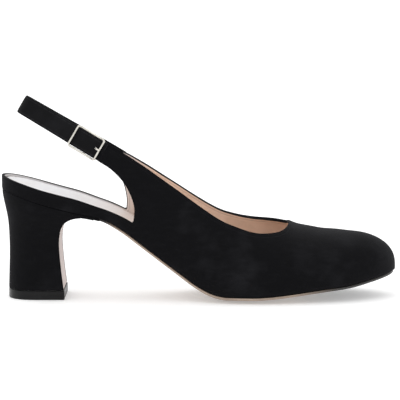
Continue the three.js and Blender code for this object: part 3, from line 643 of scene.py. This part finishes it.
def sole_rings():
    """Sections of the sole from the toe back to the waist, then of the flap down the breast."""
    path = []
    for along in np.linspace(sole_end, 1, 150)[::-1]:
        inset = curve(last_rows, 4, along) * feather_tuck + sole_inset
        tip = min(along, 1 - inset / shoe_length - 5e-5)
        _, outer_edge, inner_edge = outline(tip, inset)
        flap = np.clip((flap_start - along) / (flap_start - flap_end), 0, 1)
        flap = flap * flap * (3 - 2 * flap)
        half = heel_half(arch_top) - flap_inset
        outer_edge = outer_edge + (-half - outer_edge) * flap
        inner_edge = inner_edge + (half - inner_edge) * flap
        middle = (place_of(tip), middle_height(tip), camber_at(tip), thickness_at(tip))
        path.append((*middle, outer_edge, inner_edge))
    for x, z in breast_line(70)[1:]:
        half = heel_half(z) - flap_inset
        path.append((x, z, 0, waist_thickness, -half, half))
    path = np.array(path, float)
    ahead = np.gradient(path[:, :2], axis=0)
    ahead /= np.hypot(ahead[:, 0], ahead[:, 1])[:, None] + 1e-9
    across = np.linspace(-1, 1, sole_columns)
    rings = []
    for (x, z, camber, thick, outer_edge, inner_edge), (run, rise) in zip(path, ahead):
        y = (outer_edge + inner_edge) / 2 + (inner_edge - outer_edge) / 2 * across
        height = z + camber * camber_share(across)
        low = np.column_stack([np.full(sole_columns, x), y, height])
        high = low + thick * np.array([rise, 0, -run])
        rings.append(np.vstack([low, high[::-1]]))
    return rings


def sole_leather():
    finish = Finish("sole_leather")
    along, up = finish.coordinate("X"), finish.coordinate("Z")
    clouds = finish.noise(9 * MM, 4, 0.6)
    fibres = finish.noise(0.7 * MM, 2, 0.5, finish.stretched((0.12, 1, 1)))
    tan = finish.mix(finish.spread(clouds, 0.35, 0.65), tan_dark, tan_pale)
    tan = finish.mix(finish.spread(fibres, 0.45, 0.75) * 0.35, tan, tan_fibre)
    flap = finish.spread(up, 49 * MM, 45 * MM) * finish.spread(along, 36 * MM, 30 * MM)
    tan = finish.mix(flap, tan, flap_colour)
    # The edge is also made darker towards the toe, from 150 to 178 mm along, with a wavering start.
    toe_darkening = finish.spread(along + (clouds - 0.5) * 6 * MM, 150 * MM, 178 * MM)
    heel_paint = finish.spread(along, 47 * MM, 41 * MM) * finish.spread(along, 24 * MM, 32 * MM)
    finish.surface(
        Base_Color=finish.mix((toe_darkening + heel_paint).clamped(), tan, edge_dark),
        Roughness=0.5, Specular_IOR_Level=0.4,
        Normal=finish.bump(fibres + clouds * 0.3, 0.06 * MM, 0.5),
    )
    return finish.material


points, faces = loft(sole_rings())
outsole = facing_out(mesh_object("leather_sole", points * MM, faces, sole_leather()))
applied(outsole, ("BEVEL", dict(soft_edge, width=0.3 * MM)))
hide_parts("outsole")
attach(outsole, "root")


# The heel: a block of moulded plastic covered with the same suede, glued over its back and sides
# and turned in on both sides of the flap. The seat sits on it and it hides the sole's end.
lift_height, lip_end = 5.4, 38
heel_square, heel_crowding = 2.3, 1.15
breast_edge, pocket_round = 0.35, 0.3


def heel_wall(rows, columns):
    """One side of the heel seen from the side, as a patch between its four edges."""
    floor_z = lift_height + gap
    lip = share_of(lip_end)
    front = breast_line(rows - 14)[::-1]
    front = front[front[:, 1] > floor_z]
    front = np.vstack([(front[0, 0], floor_z), front])
    lip_top = (lip_end, float(feather(lip)) - gap)
    front = np.vstack([front, np.linspace(front[-1], lip_top, 10)[1:]])
    way = np.concatenate([[0], np.cumsum(np.hypot(*np.diff(front, axis=0).T))])
    up = np.linspace(0, 1, rows)
    front = np.column_stack([np.interp(up * way[-1], way, front[:, k]) for k in (0, 1)])
    back_z = floor_z + up * (float(feather(0)) - gap - floor_z)
    back = np.column_stack([heel_back + curve(heel_rows, 2, back_z / heel_rise), back_z])
    forth = ((1 - np.cos(np.linspace(0, math.pi, columns))) / 2) ** heel_crowding
    bottom_x = back[0, 0] + forth * (front[0, 0] - back[0, 0])
    bottom = np.column_stack([bottom_x, np.full(columns, floor_z)])
    top_x = back[-1, 0] + forth * (front[-1, 0] - back[-1, 0])
    top = np.column_stack([top_x, feather(share_of(top_x)) - gap])
    s, t = forth[None, :, None], up[:, None, None]
    patch = (1 - t) * bottom[None] + t * top[None] + (1 - s) * back[:, None] + s * front[:, None]
    low = (1 - s) * bottom[0] + s * bottom[-1]
    high = (1 - s) * top[0] + s * top[-1]
    return patch - (1 - t) * low - t * high


def heel_skin():
    """The heel as level rings: outer side, back, inner side, and the breast with its pocket."""
    rows, columns = 110, 60
    wall_patch = heel_wall(rows, columns)
    x, z = wall_patch[..., 0], wall_patch[..., 1]
    half = heel_half(z)
    rear = heel_back + curve(heel_rows, 2, z / heel_rise)
    depth = half * 0.98
    share = np.clip((rear + depth - x) / depth, 0, 1)
    y = half * (1 - share ** heel_square) ** (1 / heel_square)
    y[:, 0] = 0
    ahead = np.gradient(wall_patch[:, -1], axis=0)
    ahead /= np.hypot(ahead[:, 0], ahead[:, 1])[:, None]
    into = np.column_stack([-ahead[:, 1], ahead[:, 0]])
    rim = flap_inset - gap
    pocket = waist_thickness + gap
    steps = [(breast_edge, 0), (rim - pocket_round, 0), (rim, pocket_round), (rim, pocket)]
    rings = []
    for i in range(rows):
        outer = [(x[i, j], -y[i, j], z[i, j]) for j in range(columns - 1, 0, -1)]
        inner = [(back, -side, high) for back, side, high in outer[::-1]]
        edge = y[i, -1]
        breast = []
        for inset, deep in steps:
            back, high = wall_patch[i, -1] + into[i] * deep
            breast.append((back, edge - inset, high))
        breast += [(back, -side, high) for back, side, high in breast[::-1]]
        rings.append(outer + [(x[i, 0], 0, z[i, 0])] + inner + breast)
    return loft([np.array(ring) for ring in rings])


points, faces = heel_skin()
heel = facing_out(mesh_object("heel_block", points * MM, faces, suede("heel_suede", 0.6)))
applied(heel, ("BEVEL", dict(soft_edge, width=0.45 * MM)))
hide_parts("heel")
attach(heel, "root")


# The toplift: the hard rubber wearing piece nailed under the heel, a little smaller than it.
# Its trimmed side is smooth and half glossy, its edge slightly rounded.
lift_back, lift_front, lift_inset, edge_radius = 17.6, 16.6, 0.5, 0.5
rubber_colour, rubber_scuffed = (0.003, 0.003, 0.0033), (0.009, 0.009, 0.009)


def lift_ring(inset, z):
    """A level ring of the toplift: rounded back, inner side, straight front, outer side."""
    half = lift_half - lift_inset - inset
    turn = np.linspace(0, math.pi, 81)
    power = 2 / heel_square
    x = -lift_back + inset + half - half * np.sin(turn) ** power
    y = -half * np.sign(np.cos(turn)) * np.abs(np.cos(turn)) ** power
    front = lift_front - inset
    across = np.linspace(half, -half, 30)[1:-1]
    side = np.linspace(x[-1], front, 20)[1:]
    x = np.concatenate([x, side, np.full(len(across), front), side[::-1]])
    y = np.concatenate([y, np.full(len(side), half), across, np.full(len(side), -half)])
    return np.column_stack([x, y, np.full(len(x), z)])


def lift_rubber():
    finish = Finish("toplift_rubber")
    grind = finish.noise(0.6 * MM, 3, 0.6, finish.stretched((0.5, 0.5, 6)))
    scuffs = finish.noise(5 * MM, 4, 0.65)
    finish.surface(
        Base_Color=finish.mix(finish.spread(scuffs, 0.5, 0.8), rubber_colour, rubber_scuffed),
        Roughness=finish.spread(scuffs, 0.1, 0.9) * 0.2 + 0.25,
        Specular_IOR_Level=0.16, Coat_Weight=0.08, Coat_Roughness=0.12,
        Normal=finish.bump(grind, 0.03 * MM, 0.5),
    )
    return finish.material


turns = np.linspace(0, math.pi / 2, 6)
rounding = [(edge_radius * (1 - math.sin(a)), edge_radius * (1 - math.cos(a))) for a in turns]
levels = np.linspace(edge_radius, lift_height - edge_radius, 10)[1:-1]
profile = rounding + [(0, z) for z in levels] + [(inset, lift_height - z) for inset, z in rounding]
points, faces = loft([lift_ring(inset, z) for inset, z in profile])
toplift = facing_out(mesh_object("toplift_rubber", points * MM, faces, lift_rubber()))
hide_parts("toplift")
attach(toplift, "root")


# The insole: stiff board under the whole foot, covered with a pale glazed leather sock that is
# padded under the heel. It fills the seat up to just under the edge of the band.
insole_thickness, sock_drop, insole_ease = 3, 1.1, 0.6
padding_end = 0.58
# The seat colour of the sock is painted light: paler and greyer than the sock's own pink beige.
sock_lit_seat_colour, sock_colour, sock_worn = (0.66, 0.655, 0.67), (0.62, 0.52, 0.46), (0.6, 0.5, 0.44)


def insole_inset(along):
    """How far the edge of the insole lies inside the last, so that it clears the upper."""
    return float(curve(last_rows, 4, along)) * feather_tuck + wall + insole_ease


def insole_rings():
    """Sections of the insole from heel to toe, thick under the heel and thin from the waist on."""
    columns, tip = 49, 3e-4
    across = np.linspace(-1, 1, columns)
    heel_end = insole_inset(0) / shoe_length
    toe_end = 1 - insole_inset(1 - insole_inset(1) / shoe_length) / shoe_length
    rings = []
    for share in (1 - np.cos(np.linspace(0, math.pi, 190))) / 2:
        share = min(max(share, tip), 1 - tip)
        along = heel_end * (1 - share) + toe_end * share
        _, outer_edge, inner_edge = outline(along, insole_inset(along))
        flat = np.clip((along - outer_corner) / (padding_end - outer_corner), 0, 1)
        flat = flat * flat * (3 - 2 * flat)
        seat = curve(rim_rows, 1, min(along, outer_corner)) * band_height - sock_drop
        thick = seat + (insole_thickness - seat) * flat
        y = outer_edge + (inner_edge - outer_edge) * (across + 1) / 2
        dip = camber_at(along) * (1 - camber_share(across))
        x = np.full(columns, place_of(along))
        low = np.column_stack([x, y, feather(along) + gap - dip])
        high = np.column_stack([x, y, feather(along) + thick - dip * 0.5])
        rings.append(np.vstack([low, high[::-1]]))
    return rings


def sock_leather():
    finish = Finish("sock")
    clouds = finish.noise(12 * MM, 3, 0.5)
    cells = {"Vector": finish.place(), "Scale": 1 / (0.6 * MM)}
    pores = finish.node("ShaderNodeTexVoronoi", {}, cells, "Distance")
    # Painted light and shade over the sock's own pink beige: pale grey-white towards the open seat, where
    # the light falls in, darker and pinker forward in the shade under the vamp.
    forward = finish.spread(finish.coordinate("X"), 15 * MM, 85 * MM)
    colour = finish.mix(forward, sock_lit_seat_colour, sock_colour)
    colour = finish.mix(finish.spread(clouds, 0.5, 0.8) * 0.4, colour, sock_worn)
    finish.surface(
        Base_Color=colour, Roughness=0.42 + pores * 0.1, Specular_IOR_Level=0.4,
        Normal=finish.bump(pores + clouds * 2, 0.05 * MM, 0.5),
    )
    return finish.material


points, faces = loft(insole_rings())
insole = facing_out(mesh_object("sock_leather", points * MM, faces, sock_leather()))
applied(insole, ("BEVEL", dict(soft_edge, width=0.6 * MM)))
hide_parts("insole")
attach(insole, "root")


# The sling: a strap of folded suede, edge-stitched, that runs from a loop at the outer quarter
# round the back of the heel to the inner quarter. Its own frame has x along it towards the toe,
# y across the shoe and z across its width; the whole is tilted and rolled into the shoe.
strap_thickness, strap_reach, strap_loop_half, strap_straight = 1.9, 54.4, 4.2, 23
strap_tuck, strap_stations, strap_sides = 1.4, 240, 64
bend_back, bend_side = strap_reach * 0.86, strap_loop_half * 1.35
round_back, round_side = strap_reach * 0.965, strap_loop_half * 0.85
stitch_row, stitch_length, stitch_colour = 4.55, 2.2, (0.02, 0.02, 0.022)


def wall_at(along, height):
    """Both side walls of the last at one place along and one height, half a wall in."""
    middle, outer_edge, inner_edge = outline(along, wall / 2)
    level = feather(along) + curve(last_rows, 3, along) * widest_level
    share = np.clip((height - level) / (ridge(along, wall / 2) - level), 0, 1)
    square = curve(last_rows, 5, along)
    drawn = (1 - share ** square) ** (1 / square)
    return middle + (outer_edge - middle) * drawn, middle + (inner_edge - middle) * drawn


half_width = np.array([math.sin(strap_fall), math.cos(strap_fall)]) * strap_width / 2
sling_origin = np.array([place_of(outer_sling), float(edge_height(outer_sling, 0))]) - half_width
inner_end = np.array([place_of(inner_sling), float(edge_height(inner_sling, 1))]) - half_width
outer_y = float(wall_at(share_of(sling_origin[0]), sling_origin[1])[0])
inner_y = float(wall_at(share_of(inner_end[0]), inner_end[1])[1])
inner_x = ((inner_end[0] - sling_origin[0]) * math.cos(strap_fall)
           - (inner_end[1] - sling_origin[1]) * math.sin(strap_fall))
buckle_turn = math.atan2(-outer_y - bend_side, bend_back)
roll = (inner_x * math.sin(strap_fall) + inner_end[1] - sling_origin[1]) / (inner_y - outer_y)


def in_shoe(points):
    """Points in the sling's frame as points in the shoe."""
    x, y, z = np.asarray(points, float).T
    z = z + roll * (y - outer_y)
    level, fall = math.cos(strap_fall), math.sin(strap_fall)
    forward, up = x * level + z * fall, z * level - x * fall
    return np.column_stack([forward + sling_origin[0], y, up + sling_origin[1]])


def in_buckle(points):
    """Points in the buckle's frame as points in the sling's frame."""
    x, y, z = np.asarray(points, float).T
    straight, turned = math.cos(buckle_turn), math.sin(buckle_turn)
    return np.column_stack([x * straight + y * turned, outer_y - x * turned + y * straight, z])


def sling_line():
    """The middle of the strap from above: outer end, buckle, loop, inner end."""
    slope = math.tan(buckle_turn)
    straight = [(x, outer_y - x * slope) for x in (strap_tuck, -strap_straight / 2, -strap_straight)]
    return smooth_line(straight + [
        (-bend_back, -bend_side), (-round_back, -round_side), (-strap_reach, 0),
        (-round_back, round_side), (-bend_back, bend_side),
        (-strap_straight, inner_y * 0.62), (inner_x + strap_tuck, inner_y + strap_tuck * 0.3),
    ], strap_stations)


def flattened(value, square):
    """A sine or cosine of a round section, drawn out to a squarer one."""
    return np.sign(value) * np.abs(value) ** (2 / square)


def strap_rings():
    """Sections of the strap along its line, a little thinner where its ends enter the quarters."""
    line = sling_line()
    ahead = np.gradient(line, axis=0)
    ahead /= np.hypot(*ahead.T)[:, None]
    turn = np.linspace(0, 2 * math.pi, strap_sides + 1)[:-1]
    thick = strap_thickness / 2 * flattened(np.sin(turn), 3.2)
    wide = strap_width * 0.52 * flattened(np.cos(turn), 6)
    rings = []
    for i, ((x, y), (run, side)) in enumerate(zip(line, ahead)):
        end = min(1, min(i, len(line) - 1 - i) / 6)
        fuller = 0.6 + 0.4 * end
        narrow = wide * (0.97 + 0.03 * end)
        rings.append(np.column_stack([x + side * thick * fuller, y - run * thick * fuller, narrow]))
    return rings


def round_bar(line, radius, square=2.0, sides=20):
    """A bar of rounded section that follows a line in the buckle's frame."""
    line = np.array(line, float)
    ahead = np.gradient(line, axis=0)
    ahead /= np.linalg.norm(ahead, axis=1)[:, None]
    first = np.cross(ahead[0], (0.1, 1, 0.2))
    rings = []
    for point, run in zip(line, ahead):
        first = first - run * first.dot(run)
        first /= np.linalg.norm(first)
        second = np.cross(run, first)
        turn = np.linspace(0, 2 * math.pi, sides + 1)[:-1]
        a, b = flattened(np.cos(turn)[:, None], square), flattened(np.sin(turn)[:, None], square)
        rings.append(point + radius * (a * first + b * second))
    return rings


buckle_length, bar_width, prong_radius = 20, 1.2, 0.55
clear_of_strap = strap_thickness / 2 + gap * 1.8
buckle_half = strap_width / 2 + gap * 1.5 + bar_width
prong_bar_x, prong_hole_x = -buckle_length / 2, -bar_width * 3
over = -clear_of_strap - bar_width - gap - prong_radius
behind = clear_of_strap + prong_radius
prong_line = smooth_line([
    (prong_bar_x + bar_width + gap, behind, 0), (prong_hole_x - bar_width * 1.3, behind, 0),
    (prong_hole_x, 0, 0), (prong_hole_x + bar_width * 0.8, over * 0.8, 0), (-bar_width * 1.3, over, 0),
    (bar_width * 0.25, over, 0),
], 60)


def strap_suede():
    """The same suede, with a row of stitches near both edges of the strap."""
    finish = Finish("strap_suede")
    across = finish.attribute("across")
    way = finish.attribute("way")
    nap = finish.noise(0.5 * MM, 3, 0.6)
    patches = finish.noise(18 * MM, 3, 0.55)
    off_middle = across.math("ABSOLUTE", across)
    row = finish.spread(off_middle, stitch_row - 0.3, stitch_row - 0.1)
    row = row * finish.spread(off_middle, stitch_row + 0.3, stitch_row + 0.1)
    stitch = row * (way.math("FRACT", way / stitch_length) < 0.72)
    tone = (finish.spread(patches, 0.5, 0.75) * 0.5 + (nap - 0.5) * 0.5).clamped()
    colour = finish.mix(tone, suede_colour, suede_worn)
    finish.surface(
        Base_Color=finish.mix(stitch * 0.5, colour, stitch_colour),
        Roughness=0.9, Specular_IOR_Level=0.15, Sheen_Weight=0.05, Sheen_Roughness=0.45,
        Normal=finish.bump(nap - row * 1.5 + stitch * 1.2, 0.14 * MM, 0.7),
    )
    return finish.material


points, faces = loft(strap_rings())
strap = mesh_object("strap", in_shoe(points) * MM, faces, strap_suede())
marked(strap, "across", points[:, 2])
marked(strap, "way", np.repeat(np.arange(strap_stations) * 0.5, strap_sides))
facing_out(strap)
hole_points, hole_faces = loft(round_bar(prong_line, prong_radius + gap))
cutter = facing_out(mesh_object("prong_hole", in_shoe(in_buckle(hole_points)) * MM, hole_faces))
applied(strap, ("BOOLEAN", {"object": cutter, "operation": "DIFFERENCE", "solver": "EXACT"}))
bpy.data.objects.remove(cutter)
strap.data.set_sharp_from_angle(angle=math.radians(40))
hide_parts("sling_strap")
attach(strap, "root")


# The buckle: a cast frame with a pale gold plating, polished. Two cross bars lie over the strap,
# one bar behind it holds the prong, and the prong comes out through the hole over the front bar.
corner, corner_start, side_run, bar_round = 1.4, 0.4, 4, 1.6
metal_colour, metal_worn = (0.62, 0.6, 0.55), (0.45, 0.43, 0.38)


def metal(name):
    finish = Finish(name)
    tarnish = finish.noise(3 * MM, 4, 0.6)
    scratches = finish.noise(0.4 * MM, 2, 0.5, finish.stretched((0.1, 1, 1), (0.3, 0.5, 0)))
    finish.surface(
        Base_Color=finish.mix(finish.spread(tarnish, 0.45, 0.8), metal_colour, metal_worn),
        Metallic=1.0, Roughness=finish.spread(scratches, 0.2, 0.8) * 0.14 + 0.2,
        Normal=finish.bump(scratches, 0.01 * MM, 0.3),
    )
    return finish.material


def buckle_skins():
    """The frame as one closed bar with bent corners, and the straight bar behind the strap."""
    radius = bar_width / 2
    middle, outside = buckle_half - radius, clear_of_strap + radius
    front, rear = -radius, radius - buckle_length
    loop = [
        (front, -outside, 0), (front, -outside, middle - corner),
        (front - corner_start, -outside, middle - corner_start),
        (front - corner, -outside * 0.72, middle), (front - side_run, -outside * 0.1, middle),
        ((front + rear) / 2, 0, middle), (rear + side_run, -outside * 0.1, middle),
        (rear + corner, -outside * 0.72, middle), (rear + corner_start, -outside, middle - corner_start),
        (rear, -outside, middle - corner), (rear, -outside, 0),
    ]
    other = [(x, y, -z) for x, y, z in loop[::-1]]
    frame_line = smooth_line(loop + other[1:], 260)
    bar_x = prong_bar_x + radius
    end = [
        (bar_x, 0, -middle), (bar_x, outside * 0.8, 0.5 - middle), (bar_x, outside, bar_round - middle),
    ]
    other_end = [(x, y, -z) for x, y, z in end[::-1]]
    bar = smooth_line(end + [(bar_x, outside, 0)] + other_end, 90)
    return [loft(round_bar(frame_line, radius, 2.6)), loft(round_bar(bar, radius * 0.95))]


def joined(skins):
    """Several closed skins as the points and faces of one mesh."""
    points, faces, start = [], [], 0
    for skin_points, skin_faces in skins:
        points.append(skin_points)
        faces += [tuple(v + start for v in face) for face in skin_faces]
        start += len(skin_points)
    return np.vstack(points), faces


points, faces = joined(buckle_skins())
buckle = facing_out(mesh_object("buckle", in_shoe(in_buckle(points)) * MM, faces, metal("buckle_metal")))
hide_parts("buckle_frame")
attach(buckle, "root")

points, faces = loft(round_bar(prong_line, prong_radius))
prong = facing_out(mesh_object("prong", in_shoe(in_buckle(points)) * MM, faces, metal("prong_metal")))
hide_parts("buckle_prong")
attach(prong, "root")
